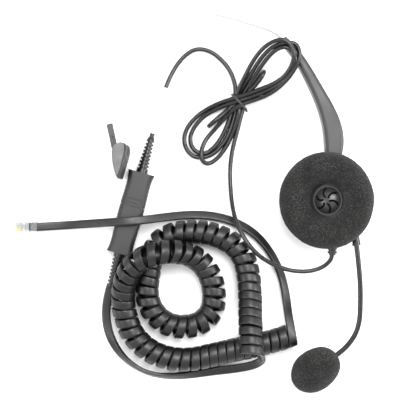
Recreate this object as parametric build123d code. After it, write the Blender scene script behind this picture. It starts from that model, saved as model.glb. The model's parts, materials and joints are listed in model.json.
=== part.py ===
from build123d import *
import os
from math import asin, atan2, cos, degrees, pi, radians, sin, tan

# Over-the-head office headset with one ear capsule, a microphone boom, a quick-disconnect cable
# and a coiled line cord, lying on its side on z = 0. Millimetres, +Z up.
# The origin is under the middle of the headset itself, without its cords.

# ---- driving dimensions ----------------------------------------------------------------------
SWIVEL_X = 51.0  # the ear capsule swivels about a line along Y, through the end of the slider arm
EAR_Y = 1.7
EAR_TILT = 20.0  # degrees that the capsule leans towards the headband at rest
SHELL_DEPTH = 8.0  # back of the capsule below the swivel line
SHELL_FLAT_R = 9.0
SHELL_RIM = (9.28, 2.41)  # centre of the shell's rounded rim: radius and height over the swivel
SHELL_RIM_R = 10.41
SHELL_R = 19.5
NECK_R = 17.6  # the boom ring turns round this neck
NECK_INNER_R = 15.6
RUNNING_GAP = 0.08
CUSHION_TOP = 20.6
CUSHION_HOLE_R = 9.4
PIN_R = 1.5

BAND_R = 53.5  # headband arc
BAND_THICK = 0.7
BAND_WIDTH = 6.4
ARM_HEIGHT = 9.0
CHANNEL_GAP = 0.2

PAD_LENGTH = 43.0
PAD_PIVOT = (-116.8, 25.6)  # the pin that the temple pad tilts on, in band_frame
BOOM_WIRE_R = 1.45

CABLE_D = 2.4
LINE_D = 4.7  # the flat line cord's width
COIL_D = 13.2
CONNECTOR_THICK = 8.6
CONNECTOR_ANGLE = 74.7  # degrees from +X, from the connector's line end to its headset end

# The shell's rounded rim and the temple pad's end rest on the table.
SWIVEL_Z = (
    SHELL_RIM[0] * sin(radians(EAR_TILT)) - SHELL_RIM[1] * cos(radians(EAR_TILT)) + SHELL_RIM_R
)
BAND_TILT = degrees(asin((PAD_LENGTH / 2 + 0.05 - SWIVEL_Z) / -PAD_PIVOT[0]))

ear_frame = Plane(
    origin=(SWIVEL_X, EAR_Y, SWIVEL_Z),
    x_dir=(cos(radians(EAR_TILT)), 0, sin(radians(EAR_TILT))),
    z_dir=(-sin(radians(EAR_TILT)), 0, cos(radians(EAR_TILT))),
)
band_frame = Plane(
    origin=(SWIVEL_X, 0, SWIVEL_Z),
    x_dir=(cos(radians(BAND_TILT)), 0, -sin(radians(BAND_TILT))),
    z_dir=(sin(radians(BAND_TILT)), 0, cos(radians(BAND_TILT))),
)
pad_frame = Plane(origin=band_frame.from_local_coords(Vector(*PAD_PIVOT, 0)), z_dir=(0, 0, 1))
JOIN = (-59.7, -1.6, CONNECTOR_THICK / 2)
connector_frame = Plane(
    origin=JOIN,
    x_dir=(sin(radians(CONNECTOR_ANGLE)), -cos(radians(CONNECTOR_ANGLE)), 0),
    z_dir=(0, 0, 1),
)


# ---- helpers ---------------------------------------------------------------------------------
def save(name, *solids):
    """Writes one node, from one or more separate solids."""
    shape = solids[0] if len(solids) == 1 else Compound(children=list(solids))
    export_step(shape, f"parts/{name}.step")


def block(low, high):
    """A box between two corners."""
    size = [b - a for a, b in zip(low, high)]
    middle = [(a + b) / 2 for a, b in zip(low, high)]
    return Pos(*middle) * Box(*size)


def disc(radius, low, high, inner=0.0):
    """A round plate or ring about Z between two heights."""
    plate = Pos(0, 0, (low + high) / 2) * Cylinder(radius, high - low)
    if inner:
        plate -= Pos(0, 0, (low + high) / 2) * Cylinder(inner, high - low + 2)
    return plate


def rod_y(radius, low, high, x=0.0, z=0.0):
    """A round bar along Y."""
    return Pos(x, (low + high) / 2, z) * Rot(90, 0, 0) * Cylinder(radius, high - low)


def cone_y(radius_low, radius_high, low, high):
    """A tapered bar along Y, centred on the Y axis."""
    bar = Cone(radius_low, radius_high, high - low)
    return Pos(0, (low + high) / 2, 0) * Rot(-90, 0, 0) * bar


def outline(*edges):
    """A flat face inside a loop of edges."""
    return make_face(Curve() + list(edges))


def turned(*edges):
    """A solid of revolution about Z from a profile in X and Z."""
    return revolve(make_face(Curve() + list(edges)), axis=Axis.Z)


def corner_radii(points):
    """Each corner's arc: 0.45 of its shorter run over the tangent of half its turn."""
    radii = []
    for before, corner, after in zip(points, points[1:], points[2:]):
        run_in = Vector(*corner) - Vector(*before)
        run_out = Vector(*after) - Vector(*corner)
        half_turn = radians(run_in.get_angle(run_out)) / 2
        radii.append(0.45 * min(run_in.length, run_out.length) / tan(half_turn))
    return radii


def tube(name, points, diameter):
    """A cord's solid along straight runs joined by tangent arcs. Prints its length and radii."""
    radii = corner_radii(points)
    path = FilletPolyline(*points, radius=radii)
    section = Plane(origin=path @ 0, z_dir=path % 0) * Circle(diameter / 2)
    solid = sweep(section, path=path)
    share = solid.volume / (pi * diameter**2 / 4 * path.length)
    shown = ", ".join(f"{r:.1f}" for r in radii)
    print(f"{name}: {path.length:.1f} mm, volume over section times length {share:.3f}")
    print(f"  arc radii {shown}")
    return solid


# ---- headband: strip, slider arm, clip and temple pad (in band_frame) -------------------------
ARM_STATIONS = [  # x, y and width along the arm's middle, from the mouth to the ear end
    (-27.9, 90.1, 4.6),
    (-18.9, 80.2, 5.2),
    (-12.8, 70.2, 6.0),
    (-7.9, 61.0, 7.0),
    (-3.2, 51.2, 8.7),
    (0.3, 39.3, 10.4),
    (0.2, 26.4, 8.6),
]
MOUTH = (-27.9, 90.1)
SLIDE_DIR = (-0.605, 0.796)  # the strip slides out this way
TAIL = 26.0
CHANNEL = 29.0
SPRING_AT = 16.0  # the spring's distance inside the mouth
ARM_RIM = 2.0
SCREW_R = 0.9
SCREW_HEAD_R = 1.8
BAND_CENTRE = (-69.2, 50.1)
ARC_FROM = 69.7  # degrees round BAND_CENTRE where the band's arc begins and ends
ARC_TO = 190.0
ARM_SCREWS = [(-5.2, 55.0), (-0.4, 41.0)]


def along(start, direction, distance):
    """A point a distance from start."""
    return (start[0] + direction[0] * distance, start[1] + direction[1] * distance)


def on_arc(radius, angle):
    """A point on a circle about the headband's centre."""
    a = radians(angle)
    return (BAND_CENTRE[0] + radius * cos(a), BAND_CENTRE[1] + radius * sin(a))


def arm_body():
    """The whole arm before it is split: a bent tapering bar with a round barrel at its ear end."""
    middle = Spline(*[(x, y) for x, y, _ in ARM_STATIONS])
    outer = []
    inner = []
    for x, y, width in ARM_STATIONS:
        t = middle.param_at_point((x, y))
        way = middle % t
        outer.append((x - way.Y * width / 2, y + way.X * width / 2))
        inner.append((x + way.Y * width / 2, y - way.X * width / 2))
    face = outline(
        Spline(*outer),
        Line(outer[-1], inner[-1]),
        Spline(*reversed(inner)),
        Line(inner[0], outer[0]),
    )
    bar = extrude(face, ARM_HEIGHT / 2, both=True)
    rims = bar.faces().filter_by(Axis.Z).edges()
    bar = fillet([e for e in rims if e.length > 20], ARM_RIM)
    barrel = rod_y(4.4, 24.6, 30.5)
    return bar + barrel


def arm_parts():
    """Base and cover of the arm, its screws and the spring that grips the strip."""
    inward = (-SLIDE_DIR[0], -SLIDE_DIR[1])
    angle = degrees(asin(-SLIDE_DIR[1]))
    middle = along(MOUTH, inward, CHANNEL / 2 - 1)
    slot_size = (CHANNEL + 2, BAND_THICK + 2 * CHANNEL_GAP, BAND_WIDTH + 2 * CHANNEL_GAP)
    slot = Pos(*middle, 0) * Rot(0, 0, angle) * Box(*slot_size)
    pocket_at = along(along(MOUTH, inward, SPRING_AT), (-SLIDE_DIR[1], SLIDE_DIR[0]), -0.85)
    pocket = Pos(*pocket_at, 0) * Rot(0, 0, angle) * Box(9.0, 1.0, 4.4)
    bore = rod_y(PIN_R + 0.05, 24.0, 28.7)
    whole = arm_body() - slot - pocket - bore
    screws = []
    for x, y in ARM_SCREWS:
        shank = Pos(x, y, -0.6) * Cylinder(SCREW_R, 6.0)
        head = Pos(x, y, -ARM_HEIGHT / 2 + 0.55) * Cylinder(SCREW_HEAD_R, 1.1)
        cross = Box(2.2, 0.5, 0.5) + Box(0.5, 2.2, 0.5)
        whole -= shank + head
        screws.append(shank + head - Pos(x, y, -ARM_HEIGHT / 2 + 0.2) * cross)
    far = 200.0
    cover = whole & block((-far, -far, 0), (far, far, far))
    base = whole & block((-far, -far, -far), (far, far, 0))
    spring = Pos(*pocket_at, 0) * Rot(0, 0, angle) * Pos(0, 0.15, 0) * Box(8.6, 0.35, 4.0)
    return base, cover, screws, spring


def headband_strip():
    """The spring strip: a straight tail in the arm, an eased bend and a long arc."""
    half = BAND_THICK / 2
    inward = (-SLIDE_DIR[0], -SLIDE_DIR[1])
    side = (SLIDE_DIR[1], -SLIDE_DIR[0])
    tail = along(MOUTH, inward, TAIL)
    leave = (cos(radians(ARC_FROM + 90)), sin(radians(ARC_FROM + 90)))
    outer = [along(tail, side, half), along(MOUTH, side, half), on_arc(BAND_R + half, ARC_FROM)]
    inner = [along(tail, side, -half), along(MOUTH, side, -half), on_arc(BAND_R - half, ARC_FROM)]
    middle_angle = (ARC_FROM + ARC_TO) / 2
    outer_end = on_arc(BAND_R + half, ARC_TO)
    inner_end = on_arc(BAND_R - half, ARC_TO)
    face = outline(
        Line(outer[0], outer[1]),
        Spline(outer[1], outer[2], tangents=[SLIDE_DIR, leave]),
        ThreePointArc(outer[2], on_arc(BAND_R + half, middle_angle), outer_end),
        Line(outer_end, inner_end),
        ThreePointArc(inner_end, on_arc(BAND_R - half, middle_angle), inner[2]),
        Spline(inner[1], inner[2], tangents=[SLIDE_DIR, leave]),
        Line(inner[1], inner[0]),
        Line(inner[0], outer[0]),
    )
    return extrude(face, BAND_WIDTH / 2, both=True)


CLIP_TOP = (-122.8, 43.3)
CLIP_LEAN = 12.2  # degrees that the clip's bar leans towards the pad
CLIP_LENGTH = 13.2
CLIP_WIDTH = 3.3
CLIP_HEIGHT = 8.0
PAD_PIN_R = 0.9
PAD_PIN_GAP = 0.08
EYE_R = 2.2


def band_clip():
    """The block crimped on the strip's temple end, with the eye that the pad tilts on."""
    lean = radians(CLIP_LEAN)
    down = (sin(lean), -cos(lean))
    middle = along(CLIP_TOP, down, CLIP_LENGTH / 2)
    bar = Box(CLIP_WIDTH, CLIP_LENGTH, CLIP_HEIGHT)
    bar = Pos(*middle, 0) * Rot(0, 0, CLIP_LEAN) * fillet(bar.edges().filter_by(Axis.Z), 0.6)
    dimple = extrude(SlotOverall(2.1, 1.0), 1.2, both=True)
    bar -= Pos(*along(CLIP_TOP, down, 7.6), CLIP_HEIGHT / 2) * Rot(0, 0, 90 + CLIP_LEAN) * dimple
    bar_end = Vector(*along(CLIP_TOP, down, CLIP_LENGTH - CLIP_WIDTH / 2))
    reach = Vector(*PAD_PIVOT) - bar_end
    link = Box(reach.length, CLIP_WIDTH, CLIP_HEIGHT)
    turn = degrees(atan2(reach.Y, reach.X))
    bar += Pos(*(bar_end + reach / 2)) * Rot(0, 0, turn) * link
    bar -= headband_strip()
    eye = pad_frame * Cylinder(EYE_R, CLIP_HEIGHT)
    hole = pad_frame * Cylinder(PAD_PIN_R + PAD_PIN_GAP, CLIP_HEIGHT + 4)
    return band_frame * bar + eye - hole


PAD_OUTLINE = [  # the T-bar's leaf-shaped section about its pin, from its thick end round
    (1.7, 7.4),
    (-1.3, 6.5),
    (-3.2, 4.4),
    (-3.5, 1.0),
    (-2.9, -5.0),
    (-1.6, -9.8),
    (-0.8, -11.8),
    (0.3, -9.3),
    (2.0, -3.2),
    (3.6, 3.0),
    (3.3, 6.2),
]
PAD_FACE_STEP = (0.5, -0.3)  # how far the dark face stands out towards the head
PAD_PIN_LENGTH = 20.0
NOTCH_HALF = 4.8
PAD_CORE = (11.0, 3.0)  # length and thickness


def temple_pad_parts():
    """The soft T-bar pad, its dark face, stiff core and pin. The clip's eye fits a notch."""
    leaf = outline(Spline(*PAD_OUTLINE, periodic=True))
    pad = extrude(leaf, PAD_LENGTH / 2, both=True)
    face = extrude(Pos(*PAD_FACE_STEP) * leaf - leaf, PAD_LENGTH / 2 - 0.6, both=True)
    core_half = PAD_LENGTH / 2 - 3.0
    core = extrude(Pos(-0.05, -0.6) * Rot(0, 0, 265) * SlotOverall(*PAD_CORE), core_half, both=True)
    core += Cylinder(1.75, 2 * core_half)
    notch = block((-10.0, -3.0, -NOTCH_HALF), (10.0, 10.0, NOTCH_HALF))
    pin_hole = Cylinder(PAD_PIN_R + PAD_PIN_GAP, PAD_PIN_LENGTH + 0.4)
    pad = pad - core - notch
    face = face - notch
    core = core - notch - pin_hole
    pin = Cylinder(PAD_PIN_R, PAD_PIN_LENGTH)
    return pad, face, core, pin


# ---- ear capsule (in ear_frame) ---------------------------------------------------------------
GRILLE_SLOTS = 6
GRILLE_SLOT = [(1.6, 0.2), (4.3, 1.6), (6.6, 0.2)]  # start, middle and end of a slot
GRILLE_SLOT_WIDTH = 1.15
GRILLE_TURN = 34.0
GRILLE_R = 8.2
CAPSULE_SCREW_R = 13.6


def back_shell():
    """The cup behind the speaker, with bosses for the swivel pin and two screws."""
    cup = turned(
        Line((0, 0, -SHELL_DEPTH), (SHELL_FLAT_R, 0, -SHELL_DEPTH)),
        ThreePointArc((SHELL_FLAT_R, 0, -SHELL_DEPTH), (16.6, 0, -5.0), (SHELL_R, 0, 0.4)),
        Line((SHELL_R, 0, 0.4), (SHELL_R, 0, 3.2)),
        Line((SHELL_R, 0, 3.2), (NECK_INNER_R, 0, 3.2)),
        Line((NECK_INNER_R, 0, 3.2), (NECK_INNER_R, 0, 0.0)),
        ThreePointArc((NECK_INNER_R, 0, 0.0), (13.6, 0, -4.0), (8.6, 0, -6.4)),
        Line((8.6, 0, -6.4), (0, 0, -6.4)),
        Line((0, 0, -6.4), (0, 0, -SHELL_DEPTH)),
    )
    hinge_boss = rod_y(3.0, 15.4, 22.5)
    cable_boss = rod_y(3.1, -19.8, -15.6)
    shell = cup + hinge_boss + cable_boss
    for side in (-1, 1):
        boss = Pos(side * CAPSULE_SCREW_R, 0, -3.5) * Cylinder(2.4, 5.0)
        shell += boss
        shell -= Pos(side * CAPSULE_SCREW_R, 0, -7.0) * Cylinder(1.9, 4.2)
        shell -= Pos(side * CAPSULE_SCREW_R, 0, -2.0) * Cylinder(0.9, 8.0)
    shell -= rod_y(PIN_R, 14.0, 24.0)
    shell -= rod_y(2.0, -21.0, -15.0)
    return shell


def capsule_screws():
    """Two screws from the back of the capsule into the baffle."""
    screws = []
    for side in (-1, 1):
        shank = Pos(side * CAPSULE_SCREW_R, 0, -0.4) * Cylinder(0.9, 9.0)
        head = Pos(side * CAPSULE_SCREW_R, 0, -5.5) * Cylinder(1.7, 1.2)
        cross = Box(2.1, 0.5, 0.6) + Box(0.5, 2.1, 0.6)
        screws.append(shank + head - Pos(side * CAPSULE_SCREW_R, 0, -6.0) * cross)
    return screws


def baffle():
    """The front plate, with the neck that the boom ring turns on."""
    plate = disc(19.6, 6.95, 8.6)
    neck = disc(NECK_R, 3.2, 6.95, inner=NECK_INNER_R)
    body = plate + neck
    for side in (-1, 1):
        body += Pos(side * CAPSULE_SCREW_R, 0, 3.2) * Cylinder(1.9, 7.6)
        body -= Pos(side * CAPSULE_SCREW_R, 0, 0.0) * Cylinder(0.9, 8.2)
    return body - disc(7.4, 5.0, 10.0)


def speaker_grille():
    """The dome with six curved pinwheel slots that the sound comes through."""
    dome_r = 10.2
    centre_z = 12.7 - dome_r
    dome = Pos(0, 0, centre_z) * Sphere(dome_r)
    dome -= Pos(0, 0, centre_z) * Sphere(dome_r - 1.0)
    dome &= disc(GRILLE_R - 0.7, 8.6, 14.0)
    flange = disc(GRILLE_R, 8.6, 9.5, inner=GRILLE_R - 1.7)
    grille = dome + flange
    slot_path = ThreePointArc(*GRILLE_SLOT)
    slot_face = Curve() + [slot_path]
    blade = extrude(trace(slot_face, GRILLE_SLOT_WIDTH), 20)
    for k in range(GRILLE_SLOTS):
        grille -= Rot(0, 0, 360 / GRILLE_SLOTS * k + GRILLE_TURN) * blade
    return grille


def speaker_parts():
    """The driver's basket and cone, its magnet, the felt in front and the terminal board."""
    basket = disc(11.4, 1.8, 6.2, inner=9.8) + disc(11.4, 1.8, 2.8, inner=7.4)
    cone = turned(
        Line((0, 0, 3.4), (4.0, 0, 3.4)),
        Line((4.0, 0, 3.4), (9.6, 0, 5.4)),
        Line((9.6, 0, 5.4), (9.6, 0, 5.8)),
        Line((9.6, 0, 5.8), (3.9, 0, 3.9)),
        Line((3.9, 0, 3.9), (0, 0, 3.9)),
        Line((0, 0, 3.9), (0, 0, 3.4)),
    )
    magnet = disc(7.2, -2.6, 1.6)
    felt = disc(11.0, 6.3, 6.85)
    board = block((-5.0, -2.5, -4.6), (5.0, 2.5, -3.6))
    for x in (-3.0, 3.0):
        board += Pos(x, 0, -3.2) * Cylinder(0.8, 0.8)
    return basket, cone, magnet, felt, board


def cushion_ring():
    """The ring that holds the foam cushion on the baffle."""
    return disc(19.6, 8.6, 9.6, inner=12.4)


def ear_cushion():
    """The foam ring: flared round its hole, crowned, and tucked under at its rim."""
    return turned(
        Line((10.4, 0, 9.8), (20.0, 0, 9.8)),
        Line((20.0, 0, 9.8), (20.0, 0, 7.6)),
        Line((20.0, 0, 7.6), (23.4, 0, 7.6)),
        ThreePointArc((23.4, 0, 7.6), (26.4, 0, 12.0), (25.6, 0, 17.0)),
        ThreePointArc((25.6, 0, 17.0), (21.6, 0, CUSHION_TOP), (16.4, 0, 20.2)),
        ThreePointArc((16.4, 0, 20.2), (11.4, 0, 16.4), (CUSHION_HOLE_R, 0, 11.2)),
        Line((CUSHION_HOLE_R, 0, 11.2), (10.4, 0, 9.8)),
    )


def cable_boot():
    """The ribbed strain relief on the swivel line, where the cable leaves the capsule."""
    boot = rod_y(2.0, -20.0, -15.2)
    boot += cone_y(1.75, 3.0, -30.2, -20.0)
    for y in (-28.6, -26.6):
        boot += rod_y(2.6, y - 0.55, y + 0.55)
    return boot


# ---- microphone boom (in ear_frame, the wires in world places) ---------------------------------
BOOM_ROUTE = [  # from the boot on the ring to the microphone, in world places
    (63.2, -20.0, 19.7),
    (64.6, -31.0, 18.8),
    (65.7, -42.6, 17.5),
    (66.0, -50.0, 16.6),
    (66.0, -54.8, 16.0),
    (65.9, -63.4, 15.0),
    (64.0, -71.4, 13.9),
    (59.5, -78.2, 12.9),
    (54.2, -83.0, 12.2),
    (48.2, -87.2, 11.8),
]
BEND_AT = 4  # the lower wire starts at this point of the route
BEND_GAP = 0.5
MIC_CENTRE = (41.7, -91.8, 11.65)
MIC_WAY = (-0.80, -0.59, -0.03)
FOAM_HALF = 14.4
FOAM_R = 11.5


def boom_ring():
    """The ring that turns on the capsule's neck, with the lug that carries the boom."""
    ring = disc(21.2, 3.55, 6.6, inner=NECK_R + RUNNING_GAP)
    lug = Rot(0, 0, -60) * block((19.5, -3.2, 3.55), (25.0, 3.2, 6.6))
    lug = fillet(lug.edges().filter_by(Axis.Z), 1.2)
    ring += lug
    return ring - disc(NECK_R + RUNNING_GAP, 3.0, 7.0)


def boom_parts():
    """The boot, the two lengths of boom wire and the pieces of the microphone."""
    upper_route = BOOM_ROUTE[:BEND_AT]
    pivot = (Vector(*BOOM_ROUTE[BEND_AT - 1]) + Vector(*BOOM_ROUTE[BEND_AT])) * 0.5
    way = (Vector(*BOOM_ROUTE[BEND_AT]) - Vector(*BOOM_ROUTE[BEND_AT - 1])).normalized()
    ball = BOOM_WIRE_R
    above = pivot - way * (BEND_GAP / 2 + ball)
    below = pivot + way * (BEND_GAP / 2 + ball)
    upper = tube("boom upper wire", upper_route[:-1] + [tuple(above)], 2 * ball)
    upper += Pos(*above) * Sphere(ball)
    lower = tube("boom lower wire", [tuple(below)] + BOOM_ROUTE[BEND_AT + 1 :], 2 * ball)
    lower += Pos(*below) * Sphere(ball)
    start = Vector(*BOOM_ROUTE[0])
    first_way = (Vector(*BOOM_ROUTE[1]) - start).normalized()
    boot_plane = Plane(origin=start - first_way * 2.0, z_dir=first_way)
    boot = boot_plane * Pos(0, 0, 2.4) * Cone(1.9, 2.35, 4.8)
    ring = ear_frame * boom_ring()
    boot -= ring
    upper -= boot
    print(f"boom bends about {tuple(round(v, 2) for v in pivot)}")
    return ring, boot, upper, lower


def microphone_parts():
    """The capsule on the boom's end: foam windscreen, housing, element and cap."""
    way = Vector(*MIC_WAY).normalized()
    plane = Plane(origin=MIC_CENTRE, z_dir=way)
    housing = disc(3.9, -7.4, 3.4, inner=3.1) + disc(3.9, -7.4, -6.2)
    element = disc(3.0, -1.6, 3.2)
    cap = disc(3.9, 3.4, 4.4)
    for x in (-1.2, 1.2):
        cap -= block((x - 0.3, -1.6, 3.0), (x + 0.3, 1.6, 5.0))
    half = FOAM_HALF
    egg = turned(
        Line((0, 0, 0.3 - half), (4.1, 0, 0.3 - half)),
        ThreePointArc((4.1, 0, 0.3 - half), (9.9, 0, -8.4), (FOAM_R, 0, 0.6)),
        ThreePointArc((FOAM_R, 0, 0.6), (8.6, 0, half - 4.6), (1.0, 0, half)),
        Line((1.0, 0, half), (0, 0, half)),
        Line((0, 0, half), (0, 0, 0.3 - half)),
    )
    egg -= disc(4.1, -half, 4.5)
    parts = [housing, element, cap, egg]
    return [plane * p for p in parts]


# ---- headset cable -----------------------------------------------------------------------------
TIE = (-0.8, 57.0, 4.2)
CABLE_TO_EAR = [  # from the boot on the capsule to the tied hank
    (51.0, -28.85, SWIVEL_Z),
    (50.2, -31.6, 10.9),
    (46.8, -35.0, 10.4),
    (41.4, -37.2, 10.2),
    (35.2, -38.6, 10.3),
    (27.4, -37.6, 10.2),
    (19.4, -34.6, 10.8),
    (11.2, -29.8, 12.6),
    (5.2, -23.4, 14.2),
    (0.6, -16.0, 12.8),
    (-2.7, -8.0, 9.4),
    (-4.5, 2.4, 4.6),
    (-5.2, 15.4, 1.4),
    (-5.1, 25.6, 1.25),
    (-4.2, 34.0, 1.25),
    (-2.9, 42.8, 1.5),
    (-1.5, 51.0, 2.6),
]
CABLE_TO_CONNECTOR = [  # from the upper boot of the connector to the tied hank
    (-49.1, 36.9, 4.3),
    (-45.7, 49.8, 3.9),
    (-42.1, 62.8, 3.0),
    (-38.0, 72.8, 1.8),
    (-32.2, 81.2, 1.3),
    (-23.8, 85.5, 1.25),
    (-15.0, 83.2, 1.25),
    (-8.3, 76.8, 1.4),
    (-4.0, 69.6, 2.0),
    (-1.8, 61.6, 3.4),
]
LOW_LOOP = [  # the hank's lower loop on the table, round its outside from the tie and back
    (-3.4, 58.8),
    (-10.0, 57.5),
    (-18.2, 53.6),
    (-28.6, 44.8),
    (-31.6, 35.6),
    (-28.6, 27.4),
    (-20.0, 21.4),
    (-11.2, 25.0),
    (-4.0, 37.0),
    (0.4, 53.4),
]
HIGH_LOOP = [  # the upper loop in its own tilted plane: along it and across it
    (-1.0, 3.4),
    (9.0, 6.2),
    (22.0, 11.6),
    (36.0, 12.6),
    (47.0, 6.5),
    (49.4, -1.6),
    (43.0, -8.6),
    (30.0, -11.6),
    (16.0, -9.6),
    (-1.0, -3.4),
]
HANK_THICK = 5.0
HIGH_SLOPE = 28.5
HIGH_WAY = (0.745, 0.667)


def loop_slab(points, inset):
    """A flat slab of a hank's loop, open in its middle."""
    outer = outline(Spline(*points), Line(points[-1], points[0]))
    middle = Vector(sum(p[0] for p in points), sum(p[1] for p in points)) / len(points)
    inner_points = [
        (middle.X + (x - middle.X) * inset, middle.Y + (y - middle.Y) * inset) for x, y in points
    ]
    inner = outline(Spline(*inner_points), Line(inner_points[-1], inner_points[0]))
    return extrude(outer - inner, HANK_THICK)


def cable_hank():
    """The figure-eight hank: one loop on the table, one leaning on the arm, tied in the middle."""
    low = loop_slab(LOW_LOOP, 0.62)
    slope = radians(HIGH_SLOPE)
    high_frame = Plane(
        origin=(TIE[0], TIE[1], 0.6),
        x_dir=(HIGH_WAY[0] * cos(slope), HIGH_WAY[1] * cos(slope), sin(slope)),
        z_dir=(-HIGH_WAY[0] * sin(slope), -HIGH_WAY[1] * sin(slope), cos(slope)),
    )
    high = high_frame * loop_slab(HIGH_LOOP, 0.62)
    bundle = Pos(TIE[0], TIE[1], 0) * Rot(0, 0, 42) * block((-4.0, -4.2, 0.0), (4.0, 4.2, 6.8))
    bundle = fillet(bundle.edges().filter_by(Axis.Z), 1.0)
    return low + high + bundle


def twist_tie():
    """A wire tie round the middle of the hank, with its two twisted ends."""
    across = Pos(TIE[0], TIE[1], 3.4) * Rot(0, 0, 42)
    loop = across * Box(1.8, 10.4, 8.2) - across * Box(2.4, 8.4, 6.8)
    tail = Pos(TIE[0] + 4.6, TIE[1] - 4.9, 6.6) * Rot(0, 0, -47) * Box(5.0, 1.4, 1.4)
    return loop + tail - block((-60, -60, -5), (60, 90, 0.0))


def label_sleeve():
    """The blank sleeve on the cable above the connector."""
    start = Vector(-48.6, 38.9, 4.25)
    end = Vector(-41.5, 64.4, 2.9)
    plane = Plane(origin=start, z_dir=(end - start).normalized())
    length = (end - start).length
    return plane * (disc(2.3, 0, length) - disc(1.6, -1, length + 1))


# ---- quick disconnect (in connector_frame) ------------------------------------------------------
UPPER_LENGTH = 19.5
LOWER_LENGTH = 27.1
PIN_SPACING = 2.6
UPPER_PROFILE = [(6.9, 0.0), (6.75, 6.0), (6.6, 11.5), (6.75, 15.5), (7.6, UPPER_LENGTH)]
LOWER_PROFILE = [(6.9, 0.0), (6.9, -8.0), (6.65, -16.0), (6.6, -22.0), (7.45, -LOWER_LENGTH)]
CASING_RIM = 2.6
BOOT_ROOT_R = 3.25
BOOT_TIP_R = 2.1
BOOT_COLLAR = 2.4
BOOT_GROOVES = 8
GROOVE_PITCH = 2.05
GROOVE_WIDTH = 0.95
GROOVE_DEPTH = 0.85


def connector_half(profile):
    """One half's casing, from its half widths along its length."""
    mirrored = [(-x, y) for x, y in profile]
    face = outline(
        Spline(*profile),
        Line(profile[-1], mirrored[-1]),
        Spline(*reversed(mirrored)),
        Line(mirrored[0], profile[0]),
    )
    body = extrude(face, CONNECTOR_THICK / 2, both=True)
    rims = body.faces().filter_by(Axis.Z).edges()
    return fillet([e for e in rims if e.length > 17], CASING_RIM)


def connector_boot(base, tip, sign):
    """A tapered boot along Y from a casing's end, grooved across so that it bends."""
    reach = BOOT_COLLAR + BOOT_GROOVES * GROOVE_PITCH
    radii = [BOOT_ROOT_R, BOOT_TIP_R, 1.5]
    places = [base, base + sign * reach, tip]
    boot = Part()
    for r1, r2, y1, y2 in zip(radii, radii[1:], places, places[1:]):
        low, high = (y1, y2) if sign > 0 else (y2, y1)
        boot += cone_y(*((r1, r2) if sign > 0 else (r2, r1)), low, high)
    for k in range(BOOT_GROOVES):
        y = BOOT_COLLAR + GROOVE_PITCH * k + GROOVE_WIDTH / 2
        inner = BOOT_ROOT_R - (BOOT_ROOT_R - BOOT_TIP_R) * y / reach - GROOVE_DEPTH
        low, high = (base + sign * y - GROOVE_WIDTH / 2, base + sign * y + GROOVE_WIDTH / 2)
        boot -= rod_y(BOOT_ROOT_R + 1, low, high) - rod_y(inner, low - 1, high + 1)
    return boot


def contact_places():
    """The four contacts, in a row across the connector."""
    return [(k - 1.5) * PIN_SPACING for k in range(4)]


def upper_connector():
    """The headset half: casing with a release panel, contact carrier and four sockets."""
    cavity = block((-5.4, -1.0, -2.4), (5.4, 9.0, 2.4))
    top = CONNECTOR_THICK / 2
    shell = connector_half(UPPER_PROFILE) - cavity
    shell -= block((-4.2, 1.5, top - 0.7), (4.7, 4.5, top + 1))
    shell += block((-3.6, 2.1, top - 0.8), (3.6, 3.4, top + 0.05))
    shell -= block((-8, -0.5, -6), (8, 0.35, 6)) - block((-6.2, -1, 0.6 - top), (6.2, 1, top - 0.6))
    carrier = block((-5.4, 0.0, -2.4), (5.4, 9.0, 2.4))
    sockets = []
    for x in contact_places():
        carrier -= rod_y(0.95, -1.0, 7.5, x=x)
        sockets.append(rod_y(0.95, 0.2, 7.5, x=x) - rod_y(0.55, -1.0, 6.6, x=x))
    boot = connector_boot(UPPER_LENGTH, UPPER_LENGTH + 20.4, 1)
    return shell, carrier, sockets, boot


def lower_connector():
    """The line half: casing, contact carrier and four pins that enter the sockets."""
    cavity = block((-5.4, -9.0, -2.4), (5.4, 1.0, 2.4))
    shell = connector_half(LOWER_PROFILE) - cavity
    notch = Pos(0.6, 0.0, CONNECTOR_THICK / 2) * Cylinder(1.5, 1.4)
    shell -= notch
    carrier = block((-5.4, -9.0, -2.4), (5.4, 0.0, 2.4))
    pins = []
    for x in contact_places():
        carrier -= rod_y(0.5, -8.0, 1.0, x=x)
        pins.append(rod_y(0.5, -8.0, 6.0, x=x))
    boot = connector_boot(-LOWER_LENGTH, -LOWER_LENGTH - 20.2, -1)
    return shell, carrier, pins, boot


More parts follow.
